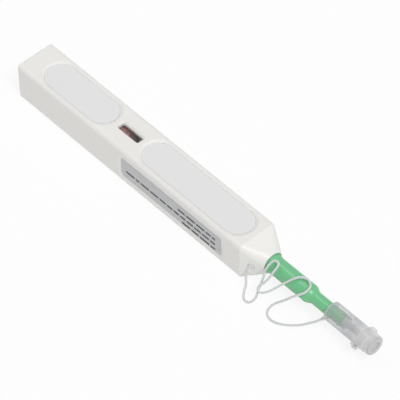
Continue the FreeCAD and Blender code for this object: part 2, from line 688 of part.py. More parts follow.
def make_cover():
    """Bottom cover: floor plate with two runners, the rack and the post of the cam follower."""
    gap, thick = cell("cover_gap"), cell("cover_thickness")
    inner = CAVITY_HALF - gap
    rail_low, rail_high = thick / 2, thick + cell("rail_height")
    rail_outer = CARRIAGE_HALF - cell("cheek") / 2 + cell("rail_width") / 2
    rail_inner = rail_outer - cell("rail_width")
    start, end = cell("rear_wall") + gap, CAVITY_END - gap
    plate = new_body("cover_plate")
    sketch = new_sketch(plate, "cover_outline", "XY_Plane")
    rounded_box(sketch, (start, end), (-inner, inner), cell("edge_radius") / 2)
    pad(plate, sketch, "cover_pad", thick)
    put(plate, 0, 0, 0)
    rail_start = cell("spring_wall_place") + cell("spring_wall") + gap
    rail_end = end - cell("edge_radius") / 2
    rails = [block("cover_rail_near", (rail_start, rail_end), (-rail_outer, -rail_inner), (rail_low, rail_high)),
             block("cover_rail_far", (rail_start, rail_end), (rail_inner, rail_outer), (rail_low, rail_high))]
    pin_top = AXIS_HEIGHT - cell("cam_radius") + cell("cam_groove_depth") - cell("running_gap")
    post_top = AXIS_HEIGHT - cell("cam_radius") - cell("running_gap")
    follower = [post("follower_post", FOLLOWER_PLACE, (rail_low, post_top), cell("post_radius")),
                post("follower_pin", FOLLOWER_PLACE, (rail_low, pin_top), cell("follower_radius"))]
    return fuse("bottom_cover", [plate, feature("rack", rack_shape())] + rails + follower)


# ------------------------------------------------------------------------------------- carriage
def make_carriage():
    """Carriage: side plates and cross walls that carry the reels, the head shaft and the nozzle."""
    low, top = CARRIAGE_LOW, CEILING_HEIGHT - cell("headroom")
    outer, inner = CARRIAGE_HALF, CHEEK_INSIDE
    rear, front = cell("carriage_rear"), cell("front_wall_place") + cell("bulkhead")
    solids = [block("cheek_near", (rear, front), (-outer, -inner), (low, top)),
              block("cheek_far", (rear, front), (inner, outer), (low, top))]
    for name, place in (("rear", rear), ("middle", MIDDLE_WALL_PLACE),
                        ("front", cell("front_wall_place"))):
        solids.append(block(f"carriage_{name}_wall", (place, place + cell("bulkhead")), (-outer, outer), (low, top)))
    solids.append(rod("spring_post", (rear - cell("spring_post_length"), rear + cell("bulkhead") / 2),
                      cell("spring_post_radius")))
    solids.append(rod("carriage_barrel", (front - cell("bulkhead") / 2, TAIL_START), cell("nozzle_base_radius")))
    solids.append(rod("carriage_spigot", (front, TAIL_START + cell("spigot_length")), cell("spigot_radius")))
    bores = [rod("tube_bore", (cell("front_wall_place"), TAIL_START + cell("spigot_length")),
                 cell("tube_radius") + cell("fit_gap")),
             rod("journal_bore", (MIDDLE_WALL_PLACE, MIDDLE_WALL_PLACE + cell("bulkhead")),
                 cell("journal_radius") + cell("bearing_clearance"))]
    for name, place in (("takeup", cell("takeup_place")), ("supply", SUPPLY_PLACE)):
        bores.append(cross_rod(f"{name}_axle_bore", place, (-outer, outer), cell("axle_radius") + cell("fit_gap")))
    for side, near, far in (("near", -outer, -inner), ("far", inner, outer)):
        bores.append(block(f"cam_slot_{side}", (MIDDLE_WALL_PLACE + cell("bulkhead") * 2,
                                                cell("front_wall_place") - cell("bulkhead")), (near, far),
                           (low + cell("bulkhead"), top - cell("bulkhead"))))
    return cut("carriage_frame", fuse("carriage_solid", solids), bores)


def make_nozzle():
    """Nozzle shell: flared base, thick barrel, round shoulder and thin front, hollow throughout."""
    wide = cell("thick_radius") - cell("nozzle_wall")
    return turned("nozzle_shell", [
        (TAIL_START, cell("spigot_radius") + cell("fit_gap")), (TAIL_START, cell("nozzle_base_radius")),
        (MOUTH + cell("nozzle_base_reach"), cell("nozzle_base_radius"), cell("flare_curve"), 1),
        (MOUTH + cell("flare_length"), cell("thick_radius")),
        (MOUTH + cell("thick_end"), cell("thick_radius"), cell("shoulder_round"), -1),
        (MOUTH + cell("shoulder_mid"), cell("shoulder_mid_radius"), cell("shoulder_hollow"), 1),
        (MOUTH + cell("shoulder_end"), cell("thin_radius")),
        (NOZZLE_END, cell("thin_radius")), (NOZZLE_END, cell("nozzle_bore")),
        (MOUTH + cell("thick_end"), cell("nozzle_bore")), (MOUTH + cell("thick_end"), wide),
        (TAIL_START + cell("spigot_length"), wide),
        (TAIL_START + cell("spigot_length"), cell("spigot_radius") + cell("fit_gap")),
    ])


def make_guide_tube():
    """Guide tube: runs from the carriage through the nozzle and ends in the thin guide tip."""
    bore = cell("shaft_radius") + cell("bearing_clearance")
    step = NOZZLE_END - cell("fit_gap")
    return turned("guide_tube", [
        (TUBE_START, bore), (TUBE_START, cell("tube_radius")),
        (step - cell("tube_radius") + cell("tip_radius"), cell("tube_radius")), (step, cell("tip_radius")),
        (TIP_END - cell("tip_chamfer"), cell("tip_radius")), (TIP_END, cell("tip_radius") - cell("tip_chamfer")),
        (TIP_END, bore),
    ])


def make_head_shaft():
    """Head shaft: rear journal, spiral cam and the long thin shaft with two thread channels."""
    journal_start = MIDDLE_WALL_PLACE - cell("bulkhead") / 2
    shaft = turned("head_solid", [
        (journal_start, 0), (journal_start, cell("journal_radius")), (CAM_START, cell("journal_radius")),
        (CAM_START, cell("cam_radius")), (CAM_END, cell("cam_radius")), (CAM_END, cell("shaft_radius")),
        (TIP_END + cell("shaft_reach"), cell("shaft_radius")), (TIP_END + cell("shaft_reach"), 0),
    ])
    start = FOLLOWER_PLACE - cell("cam_margin")
    half = cell("cam_groove") / 2
    edge, floor = cell("cam_radius") + cell("cam_groove_depth"), cell("cam_radius") - cell("cam_groove_depth")
    profile = new_sketch(shaft, "cam_groove_outline", "XZ_Plane")
    outline(profile, [(start - half, -edge), (start + half, -edge), (start + half, -floor), (start - half, -floor)])
    groove = shaft.newObject("PartDesign::SubtractiveHelix", "cam_groove")
    groove.Profile = (profile, [""])
    groove.ReferenceAxis = (profile, ["H_Axis"])
    groove.Mode = 0
    bind(groove, "Pitch", cell("stroke") * 2)
    bind(groove, "Height", cell("stroke") + cell("cam_margin") * 2)
    lead_in = 180 * cell("cam_margin").value / cell("stroke").value
    shaft.Placement = Placement(Vector(), Rotation(Vector(1, 0, 0), -lead_in))
    put(shaft, 0, 0, AXIS_HEIGHT)
    reach, channel = cell("shaft_radius"), cell("thread_width") + cell("fit_gap") * 2
    depth = cell("thread_thickness") + cell("fit_gap")
    channels = []
    for side, near, far in (("near", -reach * 1.5, -reach + depth), ("far", reach - depth, reach * 1.5)):
        channels.append(block(f"thread_channel_{side}", (CAM_END, TIP_END + cell("shaft_reach")), (near, far),
                              (AXIS_HEIGHT - channel / 2, AXIS_HEIGHT + channel / 2)))
    return cut("head_shaft", shaft, channels)


def make_tip_thread():
    """Cleaning thread on the shaft: out along one side, over the tip and back along the other."""
    reach, depth, half = cell("shaft_radius"), cell("thread_thickness"), cell("thread_width") / 2
    up = (AXIS_HEIGHT - half, AXIS_HEIGHT + half)
    end = TIP_END + cell("shaft_reach")
    return fuse("tip_thread", [
        block("thread_out", (CAM_END, end), (-reach, -reach + depth), up),
        block("thread_back", (CAM_END, end), (reach - depth, reach), up),
        block("thread_over_tip", (end, end + depth), (-reach, reach), up),
    ])


def make_reels():
    """Reels on the carriage: fresh tape in front, take-up drum with ribs behind it, and their axles."""
    near, far = REEL_NEAR_SIDE, REEL_FAR_SIDE
    bore = cell("axle_radius") + cell("axle_clearance")
    nodes = {}
    supply = fuse("supply_solid", [
        cross_rod("supply_hub", SUPPLY_PLACE, (near, far), cell("hub_radius")),
        cross_rod("supply_flange_near", SUPPLY_PLACE, (near, near + cell("flange")), REEL_RADIUS),
        cross_rod("supply_flange_far", SUPPLY_PLACE, (far - cell("flange"), far), REEL_RADIUS),
    ])
    nodes["supply_reel"] = cut("supply_reel", supply,
                               [cross_rod("supply_bore", SUPPLY_PLACE, (near, far), bore)])
    inside = (near + cell("flange") + cell("fit_gap"), far - cell("flange") - cell("fit_gap"))
    nodes["tape_roll"] = cut("tape_roll", cross_rod("roll_solid", SUPPLY_PLACE, inside, ROLL_RADIUS),
                             [cross_rod("roll_bore", SUPPLY_PLACE, inside, cell("hub_radius") + cell("fit_gap"))])
    place = cell("takeup_place")
    solids = [
        cross_rod("takeup_drum", place, (near, far), DRUM_RADIUS - cell("drum_rib")),
        cross_rod("takeup_flange_near", place, (near, near + cell("flange")), REEL_RADIUS),
        cross_rod("takeup_flange_far", place, (far - cell("flange"), far), REEL_RADIUS),
        feature("takeup_ribs", drum_ribs()),
    ]
    nodes["takeup_reel"] = cut("takeup_reel", fuse("takeup_solid", solids),
                               [cross_rod("takeup_bore", place, (near, far), bore)])
    for name, axle_place in (("takeup_axle", place), ("supply_axle", SUPPLY_PLACE)):
        nodes[name] = cross_rod(name, axle_place, (-CARRIAGE_HALF, CARRIAGE_HALF), cell("axle_radius"))
    nodes["drive_gear"] = feature("drive_gear", gear_shape())
    return nodes


def drum_ribs():
    """Ribs across the take-up drum, evenly spaced."""
    count = int(cell("drum_ribs").value)
    outer, rib = DRUM_RADIUS.value, cell("drum_rib").value
    width = math.pi * outer / count
    near = (REEL_NEAR_SIDE + cell("flange") / 2).value
    length = (REEL_FAR_SIDE - REEL_NEAR_SIDE - cell("flange")).value
    centre = Vector((REAR_END + cell("takeup_place")).value, near, AXIS_HEIGHT.value)
    ribs = []
    for number in range(count):
        one = Part.makeBox(width, length, rib * 2, Vector(-width / 2, 0, outer - rib * 2))
        one.rotate(Vector(), Vector(0, 1, 0), 360 * number / count)
        one.translate(centre)
        ribs.append(one)
    return ribs[0].multiFuse(ribs[1:])


def involute(base, radius):
    """Angle swept by an involute of the base circle when it reaches the given radius."""
    roll = math.sqrt(max((radius / base) ** 2 - 1, 0.0))
    return roll - math.atan(roll)


def gear_shape():
    """Drive gear: involute teeth, one pointing straight down into the rack."""
    module, teeth = cell("gear_module").value, int(cell("gear_teeth").value)
    pitch_radius = PITCH_RADIUS.value
    base = pitch_radius * math.cos(PRESSURE_ANGLE)
    root, tip = pitch_radius - TOOTH_DEPTH * module, pitch_radius + TOOTH_HEIGHT * module
    half_tooth = (math.pi * module / 2 - cell("tooth_backlash").value / 2) / 2 / pitch_radius
    lean = half_tooth + involute(base, pitch_radius)
    centre = Vector((REAR_END + cell("takeup_place")).value, REEL_FAR_SIDE.value, AXIS_HEIGHT.value)
    steps = 4
    flank = [(base + (tip - base) * n / steps) for n in range(steps + 1)]
    points = []
    for number in range(teeth):
        down = 1.5 * math.pi + 2 * math.pi * number / teeth
        side = [(root, down - lean)] + [(r, down - lean + involute(base, r)) for r in flank]
        side += [(r, down + lean - involute(base, r)) for r in reversed(flank)] + [(root, down + lean)]
        points += [centre + Vector(r * math.cos(a), 0, r * math.sin(a)) for r, a in side]
    profile = Part.Face(Part.makePolygon(points + points[:1]))
    gear = profile.extrude(Vector(0, cell("gear_width").value, 0))
    bore = Part.makeCylinder((cell("axle_radius") + cell("axle_clearance")).value,
                             cell("gear_width").value, centre, Vector(0, 1, 0))
    return gear.cut(bore)


def coil(radius, wire, start, end, turns):
    """Coil of round wire on the pen's axis that fills the space between two faces."""
    pitch = (end - start - wire) / turns
    line = Part.makeHelix(pitch, pitch * turns, radius)
    ring = Part.Wire(Part.makeCircle(wire / 2, Vector(radius, 0, 0), Vector(0, 2 * math.pi * radius, pitch)))
    body = Part.Wire(line.Edges).makePipeShell([ring], True, True)
    body.rotate(Vector(), Vector(0, 1, 0), 90)
    body.translate(Vector(REAR_END.value + start + wire / 2, 0, AXIS_HEIGHT.value))
    return body


def make_springs():
    """Return spring behind the carriage, and the small spring that presses the head forward."""
    start = (cell("spring_wall_place") + cell("spring_wall")).value
    back = feature("return_spring", coil(cell("spring_radius").value, cell("spring_wire").value, start,
                                         cell("carriage_rear").value, cell("spring_turns").value))
    return {"return_spring": back}


# ------------------------------------------------------------------------------- cap and lid
def local_block(name, along, across, up):
    """Box in the cap's own frame, along X counted from the rear end."""
    corner = [as_size(pair[0]).value for pair in (along, across, up)]
    spans = [(as_size(pair[1]) - pair[0]).value for pair in (along, across, up)]
    return Part.makeBox(*spans, Vector(*corner))


def local_rod(place, reach, up, radius):
    """Cylinder along Z in the cap's own frame."""
    return Part.makeCylinder(radius.value, (as_size(up[1]) - up[0]).value,
                             Vector(place.value, reach.value, as_size(up[0]).value))


def cap_frame():
    """Placement of the cap's own frame in the model."""
    return Placement(Vector(REAR_END.value, 0, AXIS_HEIGHT.value),
                     Rotation(Vector(1, 0, 0), cell("cap_roll").value))


def held(name, shape):
    """Feature whose shape is given in the cap's own frame."""
    holder = feature(name, shape)
    holder.Placement = cap_frame()
    return holder


def turned_rolled(name, corners):
    """Turned piece at the roll of the cap."""
    body = turned(name, corners)
    body.Placement = Placement(Vector(), Rotation(Vector(1, 0, 0), cell("cap_roll").value))
    return put(body, 0, 0, AXIS_HEIGHT)


HINGE_PLACE = LID_START - cell("hinge_setback")
EAR_LOW = cell("knuckle_width") / 2 + cell("knuckle_gap")


def nub_frame():
    """Middle of the nub's end face, and the run by which the tether leaves it."""
    end = Vector((REAR_END + CAP_START + cell("nub_forward")).value,
                 -(cell("cap_radius") + cell("nub_out")).value, (AXIS_HEIGHT - cell("nub_drop")).value)
    return end, Vector(*NUB_LEAN)


def make_cap():
    """Guide cap: bored barrel with a cone for the lid, two hinge ears with their pin, and the tether nub."""
    bore = cell("thin_radius") + cell("cap_bore_clearance")
    rim = cell("cap_rim_chamfer")
    barrel = turned_rolled("cap_barrel", [
        (CAP_START, bore), (CAP_START, cell("cap_radius") - rim),
        (CAP_START + rim, cell("cap_radius")), (CAP_END, cell("cap_radius")),
        (CAP_END, cell("neck_base_radius")), (CAP_END + cell("neck_length"), cell("neck_end_radius")),
        (CAP_END + cell("neck_length"), cell("port_radius")),
        (CAP_START + cell("cap_inner_depth"), cell("port_radius")),
        (CAP_START + cell("cap_inner_depth"), cell("cap_inner_radius")),
        (CAP_START + cell("cap_bore_depth"), cell("cap_inner_radius")),
        (CAP_START + cell("cap_bore_depth"), bore),
    ])
    reach, knuckle = -cell("hinge_reach"), cell("knuckle_radius")
    ears = []
    for low in (EAR_LOW, -EAR_LOW - cell("ear_width")):
        up = (low, low + cell("ear_width"))
        ears.append(local_rod(HINGE_PLACE, reach, up, knuckle))
        ears.append(local_block("ear", (HINGE_PLACE - knuckle * 2.2, HINGE_PLACE),
                                (reach, -cell("cap_radius") + 0.6), up))
    ears.append(local_rod(HINGE_PLACE, reach, (-EAR_LOW - cell("ear_width") / 2, EAR_LOW + cell("ear_width") / 2),
                          cell("hinge_pin_radius")))
    hinge = held("cap_hinge", ears[0].multiFuse(ears[1:]))
    end, run = nub_frame()
    lean = run.normalize()
    nub = feature("cap_nub", Part.makeCylinder(cell("cord_radius").value * 1.5, NUB_LENGTH,
                                               end - lean * NUB_LENGTH, lean))
    return fuse("guide_cap", [barrel, hinge, nub])


def make_lid():
    """Cap lid: ring and end cup with a dished face, a thumb tab and the middle hinge knuckle."""
    end = LID_START + cell("lid_length")
    ring_end = LID_START + cell("lid_ring_length")
    edge = cell("lid_edge")
    cup = turned_rolled("lid_cup", [
        (LID_START, cell("lid_bore_radius")), (LID_START, cell("lid_ring_radius")),
        (ring_end, cell("lid_ring_radius")), (ring_end, cell("cap_radius")),
        (end - edge, cell("cap_radius"), edge, -1), (end, cell("cap_radius") - edge),
        (end, cell("lid_dish_radius")), (end - cell("lid_dish_depth"), cell("lid_dish_radius")),
        (end - cell("lid_dish_depth"), 0), (LID_START + cell("lid_bore_depth"), 0),
        (LID_START + cell("lid_bore_depth"), cell("lid_bore_radius")),
    ])
    half = cell("knuckle_width") / 2
    up = (-half, half)
    reach = -cell("hinge_reach")
    arm = local_block("arm", (LID_START, LID_START + cell("knuckle_radius")),
                      (reach, -cell("lid_ring_radius") + 0.6), up)
    knuckle = local_rod(HINGE_PLACE, reach, up, cell("knuckle_radius"))
    hinge = arm.fuse(knuckle).cut(local_rod(HINGE_PLACE, reach, up,
                                            cell("hinge_pin_radius") + cell("hinge_clearance")))
    middle = LID_START + cell("lid_ring_length") / 2
    tab_half = cell("tab_width") / 2
    tab = local_block("tab", (middle - cell("tab_length") / 2, middle + cell("tab_length") / 2),
                      (cell("lid_ring_radius") - 0.6, cell("tab_reach")), (-tab_half, tab_half))
    top = [e for e in tab.Edges if all(abs(v.Y - cell("tab_reach").value) < 1e-6 for v in e.Vertexes)]
    tab = tab.makeFillet(0.6, top)
    return fuse("cap_lid", [cup, held("lid_hinge", hinge), held("lid_tab", tab)])


# --------------------------------------------------------------------------------------- tether
def make_plug():
    """Tether plug: round plug in the nose with a short stub that the tether leaves."""
    middle, normal = hole_frame()
    depth, proud = (cell("hole_depth") - cell("fit_gap")).value, cell("plug_proud").value
    radius = cell("plug_radius").value
    plug = Part.makeCylinder(radius, depth + proud, middle - normal * depth, normal)
    rim = [e for e in plug.Edges if len(e.Vertexes) == 1 and (e.CenterOfMass - middle).dot(normal) > 0]
    plug = plug.makeFillet(proud * 0.6, rim)
    end, root = stub_frame()
    stub = Part.makeCylinder(cell("cord_radius").value * 1.3, (end - root).Length, root, end - root)
    return feature("tether_plug", plug.fuse(stub).removeSplitter())


def stub_frame():
    """Middle of the stub's end face and of its root inside the plug."""
    middle, normal = hole_frame()
    back, down = normal.cross(Vector(0, 0, 1)), Vector(0, 0, -1)
    off = cell("stub_root").value
    end = (middle + normal * cell("stub_out").value + back * cell("stub_back").value
           + down * cell("stub_drop").value)
    return end, middle - normal * off + back * off + down * off


def tether_corners():
    """All corners of the tether, from the end of the plug's stub to the end of the cap's nub."""
    start, root = stub_frame()
    end, run = nub_frame()
    mouth = Vector((REAR_END + MOUTH).value, 0, 0)
    return ([start, start + (start - root).normalize() * STUB_RUN] + [mouth + Vector(*p) for p in TETHER_ROUTE]
            + [end + run, end])


def tether_path():
    """Straight runs between the corners joined by tangent arcs, with the arcs' radii."""
    points = tether_corners()
    edges, radii, start = [], [], points[0]
    for before, here, after in zip(points, points[1:], points[2:]):
        back, ahead = (before - here), (after - here)
        shorter = min(back.Length, ahead.Length)
        turn = math.pi - back.getAngle(ahead)
        trim = ARC_SHARE * shorter
        radii.append(trim / math.tan(turn / 2))
        first, last = here + back.normalize() * trim, here + ahead.normalize() * trim
        bisector = (back + ahead).normalize()
        to_centre = radii[-1] / math.cos(turn / 2)
        middle = here + bisector * (to_centre - radii[-1])
        edges.append(Part.LineSegment(start, first).toShape())
        edges.append(Part.Arc(first, middle, last).toShape())
        start = last
    edges.append(Part.LineSegment(start, points[-1]).toShape())
    return Part.Wire(edges), radii


def make_tether():
    """Tether: one round cord from the plug over the nozzle, along the table and up to the cap."""
    path, radii = tether_path()
    radius = cell("cord_radius").value
    start = path.Edges[0]
    ring = Part.Wire(Part.makeCircle(radius, start.Vertexes[0].Point, start.tangentAt(start.FirstParameter)))
    tube = path.makePipeShell([ring], True, True)
    print("tether length %.1f, smallest arc %.2f, volume / section x length %.4f"
          % (path.Length, min(radii), tube.Volume / (math.pi * radius ** 2 * path.Length)))
    print("tether radii", " ".join("%.1f" % r for r in radii))
    return feature("tether", tube)


nodes = {"case_shell": make_case(), "bottom_cover": make_cover(), "window_pane": make_window(),
         "side_label": make_label(), "carriage_frame": make_carriage(), "nozzle_shell": make_nozzle(),
         "guide_tube": make_guide_tube(), "head_shaft": make_head_shaft(), "tip_thread": make_tip_thread(),
         "guide_cap": make_cap(), "cap_lid": make_lid(), "tether_plug": make_plug(), "tether": make_tether()}
nodes.update(make_panels())
nodes.update(make_reels())
nodes.update(make_springs())
doc.recompute()

for item in doc.Objects:
    if "Invalid" in item.State or "Error" in item.State:
        raise RuntimeError(f"{item.Label} did not recompute: {item.State}")
os.makedirs("parts", exist_ok=True)
for label, item in nodes.items():
    item.Label = label
    shape = item.Shape
    if shape.isNull() or not shape.isValid() or shape.Volume <= 0:
        raise RuntimeError(f"{label} has no valid shape")
for label, item in nodes.items():
    item.Shape.exportStep(f"parts/{label}.step")
    print(f"{label:20s} solids {len(item.Shape.Solids)} volume {item.Shape.Volume:9.2f} "
          f"box {item.Shape.BoundBox.XMin:8.2f} {item.Shape.BoundBox.XMax:8.2f} "
          f"{item.Shape.BoundBox.YMin:7.2f} {item.Shape.BoundBox.YMax:7.2f} "
          f"{item.Shape.BoundBox.ZMin:6.2f} {item.Shape.BoundBox.ZMax:6.2f}")
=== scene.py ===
import logging
import math
from dataclasses import dataclass, field
from enum import Enum
from typing import Any

import bmesh
import bpy
import numpy as np
from mathutils import Matrix, Vector


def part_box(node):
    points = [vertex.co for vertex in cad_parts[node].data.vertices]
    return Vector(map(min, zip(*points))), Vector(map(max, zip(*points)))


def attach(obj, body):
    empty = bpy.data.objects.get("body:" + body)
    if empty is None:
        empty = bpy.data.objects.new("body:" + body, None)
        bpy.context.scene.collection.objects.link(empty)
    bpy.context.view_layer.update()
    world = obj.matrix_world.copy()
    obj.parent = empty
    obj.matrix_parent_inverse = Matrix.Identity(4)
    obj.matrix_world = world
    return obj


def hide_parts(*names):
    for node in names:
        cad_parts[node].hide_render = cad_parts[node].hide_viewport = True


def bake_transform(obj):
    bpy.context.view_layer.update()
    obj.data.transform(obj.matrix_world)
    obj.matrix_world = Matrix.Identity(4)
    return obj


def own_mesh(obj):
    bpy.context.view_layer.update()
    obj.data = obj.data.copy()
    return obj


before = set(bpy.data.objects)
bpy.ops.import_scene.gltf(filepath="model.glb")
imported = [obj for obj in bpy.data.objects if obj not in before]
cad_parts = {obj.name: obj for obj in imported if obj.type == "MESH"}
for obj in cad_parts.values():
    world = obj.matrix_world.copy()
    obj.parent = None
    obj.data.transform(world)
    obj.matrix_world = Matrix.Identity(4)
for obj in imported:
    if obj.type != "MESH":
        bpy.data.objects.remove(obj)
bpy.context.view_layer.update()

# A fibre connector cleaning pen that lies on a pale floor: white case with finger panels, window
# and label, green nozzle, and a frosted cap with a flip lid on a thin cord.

log = logging.getLogger("pen")

Colour = tuple[float, float, float]
Point = tuple[float, float, float]

MILLIMETRE = 0.001
WHITE: Colour = (1.0, 1.0, 1.0)

# Sockets of the colour Mix node, which has several of the same name.
MIX_SHARE, MIX_FIRST, MIX_SECOND = 0, 6, 7
MIX_RESULT = 2


class Body(Enum):
    """Bodies of the model that new pieces ride on."""

    CASE = "case"
    CARRIAGE = "carriage"
    CAP = "cap"


class Slot(Enum):
    """Material slots that new pieces take their finish from."""

    LABEL = "label"
    TETHER = "tether"
    STEEL = "steel"


# ---------------------------------------------------------------- shader wiring


class Socket:
    """An output of a node. Arithmetic on it adds Math nodes to the same tree."""

    def __init__(self, wiring: "Wiring", out: bpy.types.NodeSocket) -> None:
        """Keeps the output and the tree that it belongs to."""
        self.wiring = wiring
        self.out = out

    def _math(self, operation: str, *values: "Socket | float") -> "Socket":
        """Adds one Math node on the values and returns its output."""
        return self.wiring.node("ShaderNodeMath", {"operation": operation}, dict(enumerate(values)))

    def __add__(self, other: "Socket | float") -> "Socket":
        """self + other."""
        return self._math("ADD", self, other)

    def __radd__(self, other: float) -> "Socket":
        """other + self."""
        return self._math("ADD", other, self)

    def __sub__(self, other: "Socket | float") -> "Socket":
        """self - other."""
        return self._math("SUBTRACT", self, other)

    def __rsub__(self, other: float) -> "Socket":
        """other - self."""
        return self._math("SUBTRACT", other, self)

    def __mul__(self, other: "Socket | float") -> "Socket":
        """self * other."""
        return self._math("MULTIPLY", self, other)

    def __rmul__(self, other: float) -> "Socket":
        """other * self."""
        return self._math("MULTIPLY", other, self)

    def sine(self) -> "Socket":
        """The sine of self, in radians."""
        return self._math("SINE", self)

    def capped(self, top: float = 1.0) -> "Socket":
        """self, but no more than top."""
        return self._math("MINIMUM", self, top)


class Wiring:
    """The node tree of a material or of the world, with the one method that adds nodes to it."""

    def __init__(self, tree: bpy.types.NodeTree) -> None:
        """Empties the tree."""
        self.tree = tree
        tree.nodes.clear()

    def node(
        self,
        kind: str,
        settings: dict[str, Any] | None = None,
        inputs: dict[str | int, Any] | None = None,
        output: str | int = 0,
    ) -> Socket | None:
        """Adds a node.

        Args:
            kind: the name of the node type.
            settings: the node's own properties, set first; "stops" are a ramp's stops.
            inputs: values or links of its sockets, by name or number.
            output: the output that is handed back, by name or number.

        Returns:
            That output, or None for a node that has none.
        """
        node = self.tree.nodes.new(kind)
        for name, value in (settings or {}).items():
            if name == "stops":
                self._set_stops(node.color_ramp.elements, value)
            else:
                setattr(node, name, value)
        for key, value in (inputs or {}).items():
            if isinstance(value, Socket):
                self.tree.links.new(value.out, node.inputs[key])
            else:
                node.inputs[key].default_value = value
        return Socket(self, node.outputs[output]) if node.outputs else None

    @staticmethod
    def _set_stops(elements: Any, stops: list[tuple[float, Colour]]) -> None:
        """Gives a ramp its stops, each a place and a colour."""
        while len(elements) > 1:
            elements.remove(elements[-1])
        for number, (place, colour) in enumerate(stops):
            element = elements[0] if number == 0 else elements.new(place)
            element.position = place
            element.color = (*colour, 1.0)

    def blend(self, share: Socket | float, first: Any, second: Any) -> Socket:
        """Mixes two colours.

        Args:
            share: how much of the second colour shows, 0 to 1.
            first: colour where share is 0.
            second: colour where share is 1.

        Returns:
            The mixed colour.
        """
        colours = [c if isinstance(c, Socket) else (*c, 1.0) for c in (first, second)]
        return self.node(
            "ShaderNodeMix",
            {"data_type": "RGBA"},
            {MIX_SHARE: share, MIX_FIRST: colours[0], MIX_SECOND: colours[1]},
            output=MIX_RESULT,
        )

    def place(self) -> Socket:
        """The point on the surface, in metres in the model's frame."""
        return self.node("ShaderNodeTexCoord", output="Object")

    def along(self, way: Point) -> Socket:
        """How far the point on the surface lies along a direction, in metres."""
        return self.node(
            "ShaderNodeVectorMath",
            {"operation": "DOT_PRODUCT"},
            {0: self.place(), 1: way},
            output="Value",
        )

    def grain(self, size: float, detail: float = 2.0) -> Socket:
        """Noise whose lumps are about size metres across, 0 to 1."""
        return self.node(
            "ShaderNodeTexNoise",
            inputs={"Vector": self.place(), "Scale": 0.5 / size, "Detail": detail},
        )

    def bump(self, height: Socket, distance: float, onto: Socket | None = None) -> Socket:
        """Turns a height into a normal.

        Args:
            height: the height, 0 to 1.
            distance: how far a height of 1 stands out, in metres.
            onto: the normal that the bump is laid on, or None for the surface's own.

        Returns:
            The normal.
        """
        inputs = {"Height": height, "Distance": distance}
        if onto is not None:
            inputs["Normal"] = onto
        return self.node("ShaderNodeBump", inputs=inputs)

    def surface(self, **inputs: Any) -> None:
        """Ends the tree in a Principled shader, its sockets named with underscores for spaces."""
        named = {name.replace("_", " "): value for name, value in inputs.items()}
        self.finish(self.node("ShaderNodeBsdfPrincipled", inputs=named))

    def finish(self, shader: Socket) -> None:
        """Ends the tree in a material output."""
        self.node("ShaderNodeOutputMaterial", inputs={"Surface": shader})


def new_material(name: str) -> tuple[bpy.types.Material, Wiring]:
    """Makes an empty node material and the wiring of its tree."""
    material = bpy.data.materials.new(name)
    material.use_nodes = True
    return material, Wiring(material.node_tree)


# ---------------------------------------------------------------- finishes

SPECK = 0.12 * MILLIMETRE

@dataclass(frozen=True)
class Moulded:
    """Moulded plastic: two near tones in soft clouds, a fine spark-eroded grain and eased edges."""

    name: str
    colour: Colour
    drift: Colour
    roughness: float
    grain: float = SPECK
    depth: float = 0.006 * MILLIMETRE
    cloud: float = 9 * MILLIMETRE
    edge: float = 0.25 * MILLIMETRE
    coat: float = 0.0
    coat_roughness: float = 0.25
    sheen_depth: float = 0.08

    def material(self) -> bpy.types.Material:
        """Builds the material."""
        material, wires = new_material(self.name)
        clouds = wires.grain(self.cloud, 3.0)
        speck = wires.grain(self.grain, 1.0)
        eased = wires.node("ShaderNodeBevel", {"samples": 4}, {"Radius": self.edge})
        wires.surface(
            Base_Color=wires.blend(clouds * 0.7 + speck * 0.3, self.colour, self.drift),
            Roughness=self.roughness + (clouds - 0.5) * self.sheen_depth,
            Coat_Weight=self.coat,
            Coat_Roughness=self.coat_roughness,
            Normal=wires.bump(speck, self.depth, eased),
        )
        return material


@dataclass(frozen=True)
class Band:
    """What frosted plastic is like at one place along the pen: its tone and how much it covers."""

    place: float
    tone: Colour
    cover: float


@dataclass(frozen=True)
class Frosted:
    """Translucent plastic, clouded where it is thick and along its rims, where a lighter tone
    paints a highlight line.
    """

    name: str
    bands: tuple[Band, ...]
    roughness: float
    edge_cover: float = 0.3
    depth: float = 0.003 * MILLIMETRE
    flow: float = 2.5 * MILLIMETRE
    haze: Colour = (0.9, 0.9, 0.9)
    haze_share: float = 0.25
    unevenness: float = 0.06

    def material(self) -> bpy.types.Material:
        """Builds the material."""
        material, wires = new_material(self.name)
        clouds = wires.grain(self.flow)
        speck = wires.grain(SPECK, 1.0)
        start, reach = self._span()
        share = wires.along((1.0, 0.0, 0.0)) * (1.0 / reach) - start / reach
        tone = self._ramp(wires, share, [band.tone for band in self.bands])
        cover = self._ramp(wires, share, [(band.cover,) * 3 for band in self.bands])
        edge = wires.node("ShaderNodeLayerWeight", inputs={"Blend": 0.3}, output="Facing")
        wires.surface(
            Base_Color=wires.blend(clouds * self.haze_share, tone, self.haze),
            Roughness=self.roughness + (speck - 0.5) * 0.1,
            Alpha=cover + edge * self.edge_cover + (clouds - 0.5) * self.unevenness,
            Normal=wires.bump(speck, self.depth),
        )
        return material

    def _span(self) -> tuple[float, float]:
        """Where the bands start, and how far they reach from there."""
        return self.bands[0].place, self.bands[-1].place - self.bands[0].place

    def _ramp(self, wires: Wiring, share: Socket, tones: list[Colour]) -> Socket:
        """Runs the bands' tones along the pen.

        Args:
            wires: the tree that the ramp goes into.
            share: 0 at the first band and 1 at the last.
            tones: one tone for each band.

        Returns:
            The tone at each point.
        """
        start, reach = self._span()
        stops = [((band.place - start) / reach, tone) for band, tone in zip(self.bands, tones)]
        return wires.node("ShaderNodeValToRGB", {"stops": stops}, {"Fac": share})


